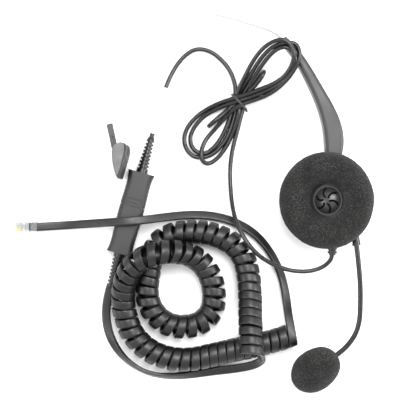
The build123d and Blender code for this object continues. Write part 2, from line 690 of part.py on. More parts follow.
# ---- line cord -----------------------------------------------------------------------------------
FLOOR = LINE_D / 2 + 0.05
COIL_FLOOR = COIL_D / 2 + 0.05
CONNECTOR_LEAD = [  # from the lower boot to the coil's far end
    (-72.2, -47.3, 4.3),
    (-73.6, -52.4, 3.2),
    (-74.7, -59.6, FLOOR),
    (-74.2, -67.8, FLOOR),
    (-72.0, -75.2, FLOOR),
    (-68.0, -82.2, FLOOR),
    (-62.2, -88.4, FLOOR),
    (-54.8, -93.2, FLOOR),
    (-46.6, -95.9, FLOOR),
    (-36.4, -96.5, FLOOR),
    (-25.5, -95.4, FLOOR),
    (-14.4, -93.6, FLOOR),
    (-5.6, -92.0, 2.8),
    (2.6, -90.6, 4.4),
    (8.6, -88.6, 8.0),
    (12.2, -85.8, 12.8),
    (12.6, -82.4, 17.4),
]
COIL_ROUTE = [  # the coil's middle line, from the plug lead round the ring to the other end
    (28.8, -72.9, COIL_FLOOR),
    (21.8, -75.5, COIL_FLOOR),
    (14.6, -77.6, COIL_FLOOR),
    (5.6, -79.6, COIL_FLOOR),
    (-4.4, -81.6, COIL_FLOOR),
    (-14.8, -84.1, COIL_FLOOR),
    (-28.4, -87.2, COIL_FLOOR),
    (-40.8, -85.8, COIL_FLOOR),
    (-50.6, -81.6, COIL_FLOOR),
    (-57.4, -75.6, COIL_FLOOR),
    (-62.0, -67.8, COIL_FLOOR),
    (-64.6, -57.6, 7.4),
    (-64.8, -47.8, 10.2),
    (-62.6, -40.2, 14.2),
    (-59.0, -34.2, 17.0),
    (-53.6, -29.8, 20.0),
    (-45.8, -27.2, 20.6),
    (-38.2, -26.2, 18.4),
    (-30.4, -27.1, 13.8),
    (-24.2, -30.2, 9.8),
    (-18.9, -35.4, 7.2),
    (-15.4, -42.4, COIL_FLOOR),
    (-14.1, -51.8, COIL_FLOOR),
    (-15.4, -60.2, COIL_FLOOR),
    (-20.8, -66.0, COIL_FLOOR),
    (-28.6, -68.6, COIL_FLOOR),
    (-37.2, -68.2, COIL_FLOOR),
    (-44.6, -64.4, COIL_FLOOR),
    (-49.6, -58.0, COIL_FLOOR),
    (-51.7, -49.6, COIL_FLOOR),
    (-51.0, -41.4, COIL_FLOOR),
    (-50.0, -34.2, COIL_FLOOR),
    (-48.6, -27.4, COIL_FLOOR),
    (-44.6, -20.8, COIL_FLOOR),
    (-37.4, -16.8, COIL_FLOOR),
    (-28.6, -15.6, COIL_FLOOR),
    (-19.6, -16.0, COIL_FLOOR),
    (-11.2, -18.2, COIL_FLOOR),
    (-3.6, -22.4, COIL_FLOOR),
    (2.0, -29.2, COIL_FLOOR),
    (4.7, -38.4, 7.0),
    (5.6, -49.4, 9.2),
    (5.6, -60.6, 13.6),
    (5.6, -71.2, 18.6),
    (6.4, -81.8, 21.4),
]
PLUG_LEAD = [  # from the plug, over the connector, round to the coil's near end
    (-112.6, -13.0, 5.4),
    (-104.0, -12.6, 3.9),
    (-93.0, -11.9, 3.6),
    (-80.4, -11.0, 7.4),
    (-67.4, -10.1, 13.0),
    (-54.0, -9.3, 13.0),
    (-41.6, -7.6, 7.0),
    (-29.4, -6.3, 2.9),
    (-18.0, -6.5, FLOOR),
    (-8.6, -8.2, FLOOR),
    (0.2, -11.6, FLOOR),
    (8.0, -16.4, FLOOR),
    (14.6, -22.8, FLOOR),
    (20.0, -30.6, FLOOR),
    (24.2, -39.6, FLOOR),
    (26.8, -48.8, 2.8),
    (28.0, -57.0, 4.8),
    (28.6, -63.6, 7.8),
    (29.0, -69.6, 10.6),
]


# ---- handset plug ----------------------------------------------------------------------------------
PLUG_X = (-125.4, -112.6)
PLUG_Y = -13.0
PLUG_WIDTH = 7.65
PLUG_Z = (2.4, 8.4)
LATCH_AXIS = (-124.2, 2.0)
CONTACT_PITCH = 1.27


def plug_parts():
    """The clear four-way plug, its contacts and its latch."""
    half = PLUG_WIDTH / 2
    body = block((PLUG_X[0], PLUG_Y - half, PLUG_Z[0]), (PLUG_X[1], PLUG_Y + half, PLUG_Z[1]))
    body = fillet(body.edges().filter_by(Axis.X), 0.4)
    body -= block((PLUG_X[0] + 6.2, PLUG_Y - 2.6, 3.9), (PLUG_X[1] + 1, PLUG_Y + 2.6, 6.9))
    crimp = block((PLUG_X[0] + 7.2, PLUG_Y - 2.6, 6.9), (PLUG_X[0] + 9.2, PLUG_Y + 2.6, 9.0))
    body -= crimp
    contacts = []
    for k in range(4):
        y = PLUG_Y + (k - 1.5) * CONTACT_PITCH
        slot = block((PLUG_X[0] + 0.8, y - 0.3, 5.2), (PLUG_X[0] + 4.4, y + 0.3, 9.0))
        body -= slot
        contacts.append(block((PLUG_X[0] + 0.8, y - 0.2, 5.2), (PLUG_X[0] + 4.4, y + 0.2, 8.0)))
    root = block(
        (PLUG_X[0], PLUG_Y - 1.6, 1.3), (PLUG_X[0] + 0.9, PLUG_Y + 1.6, PLUG_Z[0])
    )
    body += root
    x, z = LATCH_AXIS
    tongue = outline(
        Line((x + 0.1, 0, z - 0.1), (x + 9.6, 0, 0.35)),
        Line((x + 9.6, 0, 0.35), (x + 9.6, 0, 0.0)),
        Line((x + 9.6, 0, 0.0), (x + 7.4, 0, 0.0)),
        Line((x + 7.4, 0, 0.0), (x + 0.1, 0, z - 0.9)),
        Line((x + 0.1, 0, z - 0.9), (x + 0.1, 0, z - 0.1)),
    )
    latch = Pos(0, PLUG_Y, 0) * extrude(tongue, 1.5, both=True)
    return body, contacts, latch


# ---- build -------------------------------------------------------------------------------------------
def build_headband():
    base, cover, screws, spring = arm_parts()
    save("arm_base", band_frame * base)
    save("arm_cover", band_frame * cover)
    save("arm_screws", *[band_frame * s for s in screws])
    save("slider_spring", band_frame * spring)
    save("headband_strip", band_frame * headband_strip())
    save("band_clip", band_clip())
    names = ["temple_pad", "temple_pad_face", "temple_pad_core", "temple_pad_pin"]
    for name, piece in zip(names, temple_pad_parts()):
        save(name, pad_frame * piece)


def build_capsule():
    save("capsule_back_shell", ear_frame * back_shell())
    save("capsule_screws", *[ear_frame * s for s in capsule_screws()])
    save("capsule_baffle", ear_frame * baffle())
    save("speaker_grille", ear_frame * speaker_grille())
    names = ["speaker_basket", "speaker_cone", "speaker_magnet", "speaker_felt", "terminal_board"]
    for name, piece in zip(names, speaker_parts()):
        save(name, ear_frame * piece)
    save("cushion_ring", ear_frame * cushion_ring())
    save("ear_cushion", ear_frame * ear_cushion())
    save("swivel_pin", ear_frame * rod_y(PIN_R, 14.4, 26.4))
    save("cable_boot", ear_frame * cable_boot())


def build_boom():
    names = ["boom_ring", "boom_boot", "boom_upper_wire", "boom_lower_wire"]
    for name, piece in zip(names, boom_parts()):
        save(name, piece)
    names = ["microphone_housing", "microphone_element", "microphone_cap", "microphone_foam"]
    for name, piece in zip(names, microphone_parts()):
        save(name, piece)


def build_headset_cable():
    save("cable_to_capsule", tube("cable to capsule", CABLE_TO_EAR, CABLE_D))
    save("cable_to_connector", tube("cable to connector", CABLE_TO_CONNECTOR, CABLE_D))
    save("cable_hank", cable_hank())
    save("twist_tie", twist_tie())
    save("label_sleeve", label_sleeve())


def build_connector():
    for side, parts in (("upper", upper_connector()), ("lower", lower_connector())):
        shell, carrier, contacts, boot = parts
        save(f"connector_{side}_shell", connector_frame * shell)
        save(f"connector_{side}_carrier", connector_frame * carrier)
        save(f"connector_{side}_contacts", *[connector_frame * c for c in contacts])
        save(f"connector_{side}_boot", connector_frame * boot)


def build_line_cord():
    save("line_connector_lead", tube("line cord, connector lead", CONNECTOR_LEAD, LINE_D))
    save("line_coil", tube("line cord, coil", COIL_ROUTE, COIL_D))
    save("line_plug_lead", tube("line cord, plug lead", PLUG_LEAD, LINE_D))
    body, contacts, latch = plug_parts()
    save("plug_body", body)
    save("plug_contacts", *contacts)
    save("plug_latch", latch)


build_headband()
build_capsule()
build_boom()
build_headset_cable()
build_connector()
build_line_cord()
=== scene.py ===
import bmesh
import bpy
import json
import random
from math import cos, pi, radians, sin
from mathutils import Matrix, Vector, noise


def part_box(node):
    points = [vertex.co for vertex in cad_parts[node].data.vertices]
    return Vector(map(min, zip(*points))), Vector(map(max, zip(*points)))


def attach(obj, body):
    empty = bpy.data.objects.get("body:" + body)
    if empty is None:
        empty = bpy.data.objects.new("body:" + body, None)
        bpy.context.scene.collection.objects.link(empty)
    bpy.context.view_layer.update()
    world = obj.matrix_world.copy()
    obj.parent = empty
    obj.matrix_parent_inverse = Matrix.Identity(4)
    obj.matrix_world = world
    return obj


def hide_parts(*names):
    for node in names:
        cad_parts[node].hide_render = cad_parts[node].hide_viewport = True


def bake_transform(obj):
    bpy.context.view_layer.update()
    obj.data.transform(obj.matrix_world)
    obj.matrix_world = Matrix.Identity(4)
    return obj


# An office headset on a pale table: ear capsule, boom, tied cable, quick disconnect, coiled line
# cord. Lengths are in metres. Route and outline points are written in millimetres.

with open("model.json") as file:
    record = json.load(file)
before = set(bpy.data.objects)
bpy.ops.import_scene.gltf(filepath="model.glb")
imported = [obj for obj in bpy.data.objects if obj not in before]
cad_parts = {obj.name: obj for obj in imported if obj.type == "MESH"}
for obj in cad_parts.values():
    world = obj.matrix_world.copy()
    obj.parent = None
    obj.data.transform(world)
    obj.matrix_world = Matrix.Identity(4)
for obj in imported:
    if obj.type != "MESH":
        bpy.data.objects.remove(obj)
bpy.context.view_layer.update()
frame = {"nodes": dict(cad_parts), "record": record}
NODES = frame["nodes"]
MM = 0.001
UP = Vector((0, 0, 1))

# ---- camera -----------------------------------------------------------------------------------
CAMERA_PLACE = (-0.01764, 0.0014, 0.8)
CAMERA_LENS = 123.6


def make_camera():
    """Looks straight down on the table, with +Y up the picture."""
    data = bpy.data.cameras.new("camera")
    data.lens = CAMERA_LENS
    data.sensor_width = 36
    data.clip_end = 20
    camera = bpy.data.objects.new("camera", data)
    camera.location = CAMERA_PLACE
    bpy.context.scene.collection.objects.link(camera)
    bpy.context.scene.camera = camera


# ---- curves and meshes --------------------------------------------------------------------------
def metres(points):
    """Points written in millimetres, as vectors in metres."""
    return [Vector(p) * MM for p in points]


def nurbs(name, points, radius=0.0, resolution=8):
    """An object with one NURBS spline that has these control points."""
    data = bpy.data.curves.new(name, "CURVE")
    data.dimensions = "3D"
    data.resolution_u = resolution
    data.bevel_depth = radius
    data.bevel_resolution = 4
    data.use_fill_caps = True
    spline = data.splines.new("NURBS")
    spline.points.add(len(points) - 1)
    for place, point in zip(spline.points, points):
        place.co = (*point, 1.0)
    spline.order_u = 3
    spline.use_endpoint_u = True
    return bpy.data.objects.new(name, data)


def line_of(points, resolution=8):
    """The smooth line of a NURBS spline with these control points."""
    bare = nurbs("line", points, 0.0, resolution)
    mesh = bpy.data.meshes.new_from_object(bare)
    line = [v.co.copy() for v in mesh.vertices]
    bpy.data.meshes.remove(mesh)
    bpy.data.objects.remove(bare)
    return line


def closed_line(points, resolution=10):
    """The smooth closed line through a ring of control points, once round."""
    line = line_of(points + points[:3], resolution)
    start = (points[0] + points[1]) / 2
    first = min(range(len(line) // 4), key=lambda i: (line[i] - start).length)
    last = min(range(len(line) // 2, len(line)), key=lambda i: (line[i] - start).length)
    return line[first:last]


def show(obj, body, material):
    """Puts a finished piece in the scene, on a body, with its material."""
    bpy.context.scene.collection.objects.link(obj)
    obj.data.materials.clear()
    obj.data.materials.append(material)
    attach(obj, body)
    return obj


def mesh_object(name, points, faces, smooth=True):
    """A mesh object from points and faces, with its normals outwards."""
    mesh = bpy.data.meshes.new(name)
    mesh.from_pydata([tuple(p) for p in points], [], faces)
    work = bmesh.new()
    work.from_mesh(mesh)
    bmesh.ops.recalc_face_normals(work, faces=work.faces)
    work.to_mesh(mesh)
    work.free()
    mesh.validate()
    if smooth:
        mesh.shade_smooth()
    return bpy.data.objects.new(name, mesh)


def ring_faces(rings, around, closed=False):
    """Quads between rings of points that follow each other."""
    faces = []
    last = rings if closed else rings - 1
    for i in range(last):
        a = i * around
        b = (i + 1) % rings * around
        for k in range(around):
            n = (k + 1) % around
            faces.append((a + k, a + n, b + n, b + k))
    return faces


def tangents(line):
    """The direction of a line at each of its points."""
    ends = [line[0]] + line + [line[-1]]
    return [(c - a).normalized() for a, c in zip(ends, ends[2:])]


def sweep(name, line, widths, section):
    """A tube along a line. Each ring's section lies across the line, turned to its width."""
    points = []
    for centre, way, wide in zip(line, tangents(line), widths):
        across = (wide - way * wide.dot(way)).normalized()
        normal = way.cross(across)
        points += [centre + across * u + normal * v for u, v in section]
    around = len(section)
    faces = ring_faces(len(line), around)
    faces.append(tuple(reversed(range(around))))
    faces.append(tuple(range(len(points) - around, len(points))))
    return mesh_object(name, points, faces)


def rounded_section(width, thickness, power=5.0, count=24):
    """A flat cord's section: a rectangle with well rounded corners."""
    section = []
    for k in range(count):
        a = 2 * pi * (k + 0.5) / count
        u = abs(cos(a)) ** (2 / power) * width / 2
        v = abs(sin(a)) ** (2 / power) * thickness / 2
        section.append((u if cos(a) > 0 else -u, v if sin(a) > 0 else -v))
    return section


# ---- materials ----------------------------------------------------------------------------------
class Finish:
    """A Principled material whose colour, roughness and relief come from noise in the object."""

    def __init__(self, name, roughness=0.5, metallic=0.0, specular=0.5):
        self.material = bpy.data.materials.new(name)
        self.material.use_nodes = True
        self.tree = self.material.node_tree
        self.shader = self.tree.nodes["Principled BSDF"]
        self.shader.inputs["Roughness"].default_value = roughness
        self.shader.inputs["Metallic"].default_value = metallic
        self.shader.inputs["Specular IOR Level"].default_value = specular
        self.place = self.tree.nodes.new("ShaderNodeTexCoord").outputs["Object"]
        self.height = None

    def link(self, a, b):
        self.tree.links.new(a, b)

    def stretched(self, x, y, z):
        """Object coordinates scaled apart, for brushed or streaked patterns."""
        node = self.tree.nodes.new("ShaderNodeMapping")
        node.inputs["Scale"].default_value = (x, y, z)
        self.link(self.place, node.inputs["Vector"])
        return node.outputs["Vector"]

    def noise(self, scale, detail=2.0, vector=None):
        node = self.tree.nodes.new("ShaderNodeTexNoise")
        node.inputs["Scale"].default_value = scale
        node.inputs["Detail"].default_value = detail
        self.link(vector or self.place, node.inputs["Vector"])
        return node.outputs["Fac"]

    def cells(self, scale):
        node = self.tree.nodes.new("ShaderNodeTexVoronoi")
        node.inputs["Scale"].default_value = scale
        self.link(self.place, node.inputs["Vector"])
        return node.outputs["Distance"]

    def spread(self, factor, low, high, start=0.3, end=0.7):
        node = self.tree.nodes.new("ShaderNodeMapRange")
        node.inputs["From Min"].default_value = start
        node.inputs["From Max"].default_value = end
        node.inputs["To Min"].default_value = low
        node.inputs["To Max"].default_value = high
        self.link(factor, node.inputs["Value"])
        return node.outputs["Result"]

    def times(self, a, b):
        node = self.tree.nodes.new("ShaderNodeMath")
        node.operation = "MULTIPLY"
        self.link(a, node.inputs[0])
        self.link(b, node.inputs[1])
        return node.outputs["Value"]

    def colours(self, factor, *stops):
        """Base colour from a ramp of (position, colour) stops."""
        node = self.tree.nodes.new("ShaderNodeValToRGB")
        ramp = node.color_ramp
        while len(ramp.elements) < len(stops):
            ramp.elements.new(0.5)
        for element, (position, colour) in zip(ramp.elements, stops):
            element.position = position
            element.color = (*colour, 1.0)
        self.link(factor, node.inputs["Fac"])
        self.link(node.outputs["Color"], self.shader.inputs["Base Color"])

    def rough(self, factor, low, high):
        self.link(self.spread(factor, low, high), self.shader.inputs["Roughness"])

    def relief(self, height, depth, strength=1.0):
        """Adds a bump, in metres of depth, on top of the ones before it."""
        node = self.tree.nodes.new("ShaderNodeBump")
        node.inputs["Strength"].default_value = strength
        node.inputs["Distance"].default_value = depth
        self.link(height, node.inputs["Height"])
        if self.height:
            self.link(self.height, node.inputs["Normal"])
        self.height = node.outputs["Normal"]
        self.link(self.height, self.shader.inputs["Normal"])

    def set(self, **values):
        for name, value in values.items():
            self.shader.inputs[name.replace("_", " ")].default_value = value


def grey(level, warmth=0.0):
    """A near-neutral linear colour; warmth above 0 is yellower, below 0 is bluer."""
    return (level * (1 + warmth), level, level * (1 - warmth))


def moulded(name, level, roughness, grain=0.00003, grain_scale=2600, warmth=-0.015):
    """Satin moulded plastic: fine grain, faint cloudiness and rubbed patches."""
    finish = Finish(name, roughness)
    clouds = finish.noise(55, 3)
    finish.colours(clouds, (0.3, grey(level * 0.86, warmth)), (0.7, grey(level * 1.14, warmth)))
    finish.rough(finish.noise(140, 4), roughness - 0.05, roughness + 0.07)
    finish.relief(finish.noise(grain_scale, 2), grain, 0.5)
    return finish.material


def rubber(name, level, roughness, streak=0.12):
    """Extruded rubber or vinyl: satin, with a faint unevenness and dust."""
    finish = Finish(name, roughness)
    clouds = finish.noise(160, 4)
    low, high = grey(level * (1 - streak), -0.02), grey(level * (1 + streak), -0.02)
    finish.colours(clouds, (0.3, low), (0.7, high))
    finish.rough(finish.noise(420, 3), roughness - 0.06, roughness + 0.08)
    finish.relief(finish.noise(900, 3), 0.00004, 0.35)
    return finish.material


def foam(name):
    """Open-cell foam: painted shade darkens the pores between lighter struts, with uneven patches."""
    finish = Finish(name, 0.95, specular=0.15)
    pores = finish.cells(1500)
    fine = finish.noise(2300, 2)
    patches = finish.spread(finish.noise(120, 3), 0.85, 1.2)
    # painted shade: the pores are darkened the way their hollows would be shaded; the fine noise and the
    # patches are random tone
    pore_shade_speckle = finish.times(finish.times(finish.spread(pores, 0.25, 1.0, 0.1, 0.75), patches), fine)
    finish.colours(
        pore_shade_speckle,
        (0.05, grey(0.003, 0.01)),
        (0.35, grey(0.010, 0.015)),
        (0.72, grey(0.050, 0.02)),
    )
    finish.relief(pores, 0.0004, 0.8)
    finish.set(Sheen_Weight=0.05, Sheen_Roughness=0.6)
    return finish.material


def pad_skin(name):
    """The temple pad's soft light grey skin with a fine leathery grain."""
    finish = Finish(name, 0.72, specular=0.3)
    grain = finish.cells(1900)
    clouds = finish.noise(170, 4)
    finish.colours(clouds, (0.3, grey(0.10, 0.005)), (0.7, grey(0.15, 0.005)))
    finish.relief(grain, 0.00012, 0.5)
    finish.relief(finish.noise(500, 3), 0.00015, 0.5)
    return finish.material


def metal(name, colour, roughness, brushed=(900, 60, 900)):
    """Plain or brushed metal with fine scratches along one direction."""
    finish = Finish(name, roughness, metallic=1.0)
    lines = finish.noise(1.0, 4, finish.stretched(*brushed))
    darker = tuple(c * 0.86 for c in colour)
    finish.colours(lines, (0.3, darker), (0.7, colour))
    finish.rough(lines, roughness - 0.06, roughness + 0.08)
    finish.relief(lines, 0.00001, 0.3)
    return finish.material


def pale_strip(name):
    """The headband strip's pale coating, faintly streaked along its length."""
    finish = Finish(name, 0.38)
    lines = finish.noise(1.0, 3, finish.stretched(60, 60, 1400))
    finish.colours(lines, (0.3, grey(0.40, 0.02)), (0.7, grey(0.48, 0.02)))
    finish.relief(lines, 0.00001, 0.2)
    return finish.material


def sleeve_white(name):
    """Blank white heat-shrink sleeve, slightly milky."""
    finish = Finish(name, 0.42)
    clouds = finish.noise(210, 4)
    finish.colours(clouds, (0.3, grey(0.58)), (0.7, grey(0.66)))
    finish.relief(finish.noise(600, 3), 0.00005, 0.4)
    finish.set(Subsurface_Weight=0.15, Subsurface_Scale=0.001)
    return finish.material


def clear_plastic(name):
    """The plug's clear polycarbonate, with faint flow marks."""
    finish = Finish(name, 0.08)
    flow = finish.noise(260, 3)
    finish.colours(flow, (0.3, (0.86, 0.89, 0.89)), (0.7, (0.95, 0.97, 0.97)))
    finish.relief(finish.noise(400, 2), 0.00003, 0.2)
    finish.set(Transmission_Weight=0.92, IOR=1.46)
    return finish.material


def paper(name, level):
    """Pressed paper or felt with loose fibres."""
    finish = Finish(name, 0.95, specular=0.1)
    fibres = finish.noise(1.0, 5, finish.stretched(900, 900, 2500))
    finish.colours(fibres, (0.3, grey(level * 0.6)), (0.7, grey(level * 1.5)))
    finish.relief(fibres, 0.0001, 0.6)
    return finish.material


def circuit_board(name):
    """Green board with a faint weave."""
    finish = Finish(name, 0.45)
    weave = finish.noise(1.0, 2, finish.stretched(2500, 2500, 300))
    finish.colours(weave, (0.3, (0.02, 0.12, 0.05)), (0.7, (0.03, 0.19, 0.08)))
    finish.relief(weave, 0.00002, 0.3)
    return finish.material


def make_materials():
    """One material for each material slot of the record."""
    return {
        "arm_plastic": moulded("arm_plastic", 0.019, 0.36),
        "steel": metal("steel", (0.58, 0.58, 0.57), 0.32),
        "band_steel": pale_strip("band_steel"),
        "dark_plastic": moulded("dark_plastic", 0.008, 0.4),
        "pad_rubber": pad_skin("pad_rubber"),
        "pad_face": rubber("pad_face", 0.006, 0.5),
        "grille_plastic": moulded("grille_plastic", 0.028, 0.28, grain=0.00001),
        "paper_cone": paper("paper_cone", 0.04),
        "magnet": metal("magnet", (0.45, 0.45, 0.46), 0.3),
        "felt": paper("felt", 0.02),
        "board": circuit_board("board"),
        "foam": foam("foam"),
        "cable_rubber": rubber("cable_rubber", 0.006, 0.3),
        "boom_sheath": rubber("boom_sheath", 0.008, 0.3),
        "element_metal": metal("element_metal", (0.7, 0.7, 0.7), 0.28),
        "tie": rubber("tie", 0.03, 0.5),
        "white_sleeve": sleeve_white("white_sleeve"),
        "connector_plastic": moulded("connector_plastic", 0.011, 0.4),
        "carrier_plastic": moulded("carrier_plastic", 0.02, 0.5),
        "contacts": metal("contacts", (0.86, 0.62, 0.25), 0.22, (200, 2500, 200)),
        "cord_rubber": rubber("cord_rubber", 0.002, 0.4),
        "clear_plastic": clear_plastic("clear_plastic"),
    }


def finish_cad_nodes(materials):
    """Every CAD node takes the material of its slot in the record."""
    for part in frame["record"]["subparts"]:
        if part["node"] not in NODES:
            continue
        mesh = NODES[part["node"]].data
        mesh.materials.clear()
        mesh.materials.append(materials[part["material_slot"]])


# ---- headset cable --------------------------------------------------------------------------------
CABLE_RADIUS = 1.2 * MM
CABLE_TO_EAR = [  # from inside the capsule's boot, along the table, up to the tied hank
    (51.0, -25.0, 11.3), (51.0, -28.0, 11.3), (50.2, -31.4, 10.9), (46.6, -34.8, 10.4),
    (41.2, -37.0, 10.2), (34.4, -37.8, 10.3), (26.6, -36.8, 10.2), (18.8, -34.0, 10.8),
    (11.0, -29.4, 12.6), (5.0, -23.2, 14.2), (0.4, -15.8, 12.8), (-2.9, -7.8, 9.4),
    (-4.7, 2.4, 4.6), (-5.4, 15.4, 1.4), (-4.9, 25.0, 1.25), (-3.2, 33.4, 1.25),
    (-1.0, 41.2, 1.25), (0.8, 48.6, 1.25), (1.8, 52.6, 1.25),
]
UPPER_FOLD = [  # a short fold that stands up inside the upper loop
    (2.1, 56.1, 1.3), (4.6, 61.2, 1.8), (7.6, 66.0, 2.4), (10.6, 70.2, 3.2), (13.0, 73.4, 6.4),
    (13.6, 72.8, 10.4), (11.8, 69.6, 11.4), (8.8, 65.6, 8.4), (4.6, 61.6, 5.2), (1.7, 59.4, 3.8),
]
LOWER_FOLD = [  # and its match inside the lower loop
    (-0.2, 57.4, 3.7), (-3.0, 54.9, 3.7), (-7.2, 51.4, 3.4), (-11.0, 48.2, 2.0), (-14.4, 45.4, 1.8),
    (-17.4, 43.0, 4.4), (-16.8, 43.4, 8.4), (-13.2, 46.6, 9.6), (-9.0, 50.2, 7.0),
    (-5.6, 53.2, 3.8),
]
TURNS = [  # the three large figure-eight turns: up over the arm, back through the tie, round below
    [
        (-2.6, 57.0, 3.5), (-1.2, 61.6, 4.4), (0.6, 66.2, 6.4), (3.0, 70.8, 8.8), (6.8, 78.2, 12.6),
        (12.0, 85.0, 17.0), (18.0, 88.8, 20.0), (23.4, 89.8, 21.4), (27.5, 87.0, 21.6),
        (29.6, 81.4, 21.3), (28.3, 75.7, 19.2), (24.9, 70.2, 15.8), (19.4, 66.4, 12.4),
        (11.8, 63.4, 9.6), (5.0, 61.0, 7.4), (-1.5, 58.9, 6.1), (-6.6, 57.6, 5.0),
        (-12.0, 55.8, 3.2), (-17.6, 53.2, 1.7), (-23.6, 49.2, 1.25), (-28.4, 44.0, 1.25),
        (-30.9, 38.6, 1.25), (-30.9, 33.4, 1.25), (-29.0, 29.2, 1.25), (-25.9, 26.3, 1.25),
        (-22.0, 25.6, 1.25), (-17.2, 26.3, 1.25), (-12.4, 29.6, 1.25), (-8.2, 34.8, 1.25),
        (-5.4, 40.6, 1.25), (-3.4, 46.8, 1.25), (-2.1, 52.0, 1.25),
    ],
    [
        (-1.6, 57.1, 1.3), (0.0, 61.4, 2.4), (2.6, 66.2, 4.9), (5.8, 71.2, 8.0), (10.8, 79.2, 13.0),
        (16.1, 85.0, 16.9), (21.5, 87.6, 18.8), (26.4, 88.2, 19.0), (30.4, 87.6, 18.9),
        (32.4, 84.2, 18.7), (32.6, 80.2, 18.7), (30.6, 75.0, 18.3), (26.9, 69.2, 15.6),
        (21.8, 64.2, 12.2), (15.8, 60.2, 9.4), (8.0, 57.2, 7.2), (-0.1, 54.9, 6.1),
        (-4.6, 51.6, 4.6), (-9.4, 46.6, 2.4), (-14.4, 40.9, 1.3), (-18.7, 36.1, 1.3),
        (-21.0, 31.2, 2.6), (-21.5, 27.4, 3.8), (-21.2, 24.4, 3.6), (-18.8, 22.2, 1.7),
        (-15.7, 22.6, 1.25), (-11.3, 26.2, 1.25), (-7.2, 32.2, 1.25), (-4.7, 37.4, 1.25),
        (-2.4, 43.0, 2.0), (-1.0, 48.8, 3.3), (-0.2, 53.0, 3.5),
    ],
    [
        (0.4, 56.7, 1.3), (2.2, 61.2, 2.4), (5.4, 66.2, 5.0), (8.7, 71.2, 8.4), (13.2, 78.0, 12.8),
        (17.9, 83.2, 16.4), (22.6, 85.8, 18.6), (26.9, 85.2, 18.9), (30.0, 81.6, 18.9),
        (30.4, 77.4, 18.5), (27.9, 72.0, 16.6), (24.0, 67.4, 14.0), (18.4, 64.0, 10.8),
        (12.2, 61.4, 8.6), (5.7, 58.9, 6.9), (-0.8, 57.0, 6.1), (-6.4, 55.4, 4.8),
        (-12.6, 52.9, 2.8), (-19.0, 49.6, 1.4), (-24.3, 44.4, 1.25), (-27.2, 39.0, 1.25),
        (-27.6, 34.6, 1.25), (-26.3, 31.0, 1.25), (-23.4, 28.4, 1.25), (-19.5, 27.7, 1.25),
        (-15.6, 29.9, 1.25), (-11.4, 34.8, 1.25), (-8.0, 41.0, 1.25), (-5.6, 47.3, 1.25),
        (-4.0, 52.6, 1.3),
    ],
]
CABLE_TO_CONNECTOR = [  # from the tied hank to the connector's upper boot
    (-2.9, 57.6, 1.3), (-2.2, 62.0, 1.3), (-2.6, 67.4, 1.3), (-5.2, 74.4, 1.3), (-9.8, 80.2, 1.25),
    (-16.0, 85.3, 1.25), (-24.4, 87.0, 1.25), (-32.2, 81.6, 1.3), (-38.0, 72.8, 1.8),
    (-42.0, 62.8, 3.0), (-45.6, 49.8, 3.9), (-49.1, 36.9, 4.3),
]
TIE_CENTRE = Vector((-0.6, 56.8, 4.0)) * MM
TIE_ACROSS = Vector((-0.67, 0.74, 0)).normalized()
TIE_HALF_WIDTH = 5.5 * MM
TIE_HALF_HEIGHT = 3.3 * MM


def twist_tie(material):
    """The wire tie round the hank, with its two ends twisted together at one side."""
    points = []
    for k in range(15):
        a = radians(-20 - 320 * k / 14)
        across = -TIE_ACROSS * cos(a) * TIE_HALF_WIDTH
        points.append(TIE_CENTRE + across + UP * sin(a) * TIE_HALF_HEIGHT)
    end = TIE_CENTRE - TIE_ACROSS * (TIE_HALF_WIDTH - 0.2 * MM)
    for k in range(8):
        a = pi * k / 2
        out = end - TIE_ACROSS * k * 0.22 * MM
        points.append(out + UP * (0.5 * MM * cos(a) + 0.4 * MM) + Vector((0, 0.5 * MM * sin(a), 0)))
    wire = nurbs("twist_tie_wire", points, 0.65 * MM, 6)
    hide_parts("twist_tie")
    return show(wire, "arm", material)


def headset_cable(materials):
    """The thin cable from the capsule through the hank to the connector, in one spline."""
    route = list(CABLE_TO_EAR) + UPPER_FOLD + LOWER_FOLD
    for turn in TURNS:
        route += turn
    route += CABLE_TO_CONNECTOR
    tie = twist_tie(materials["tie"])
    cable = nurbs("headset_cable", metres(route), CABLE_RADIUS)
    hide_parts("cable_to_capsule", "cable_hank", "cable_to_connector")
    show(cable, "arm", materials["cable_rubber"])


# ---- line cord --------------------------------------------------------------------------------------
CORD_WIDTH = 4.7 * MM
CORD_THICK = 2.3 * MM
CORD_RESOLUTION = 3  # rings of the cord for each route point
COIL_RADIUS = 5.5 * MM  # from the coil's middle line to the middle of the flat cord
TURN_POINTS = 14
TURN_GAP = 0.12 * MM
FLAT = 1.25  # the cord's middle when it lies flat on the table
EDGE = 2.4  # and when it stands on its edge
COIL_FLOOR = 6.75
CONNECTOR_LEAD = [  # from the lower boot to the coil's far end
    (-71.6, -45.2, 4.3), (-73.4, -50.8, 3.2), (-74.7, -59.6, 1.6), (-74.2, -67.8, FLAT),
    (-72.0, -75.2, 1.9), (-68.0, -82.2, 2.35), (-62.2, -88.4, EDGE), (-54.8, -93.2, EDGE),
    (-46.6, -95.9, EDGE), (-36.4, -96.5, 2.5), (-25.5, -95.4, 2.25), (-14.4, -93.6, 1.95),
    (-5.6, -92.6, 2.2), (2.6, -91.2, 4.4), (8.6, -89.2, 8.0), (12.4, -86.4, 12.8),
]
CONNECTOR_LEAD_ROLL = [10, 10, 12, 15, 25, 45, 65, 75, 70, 55, 40, 25, 15, 10, 5, 0]
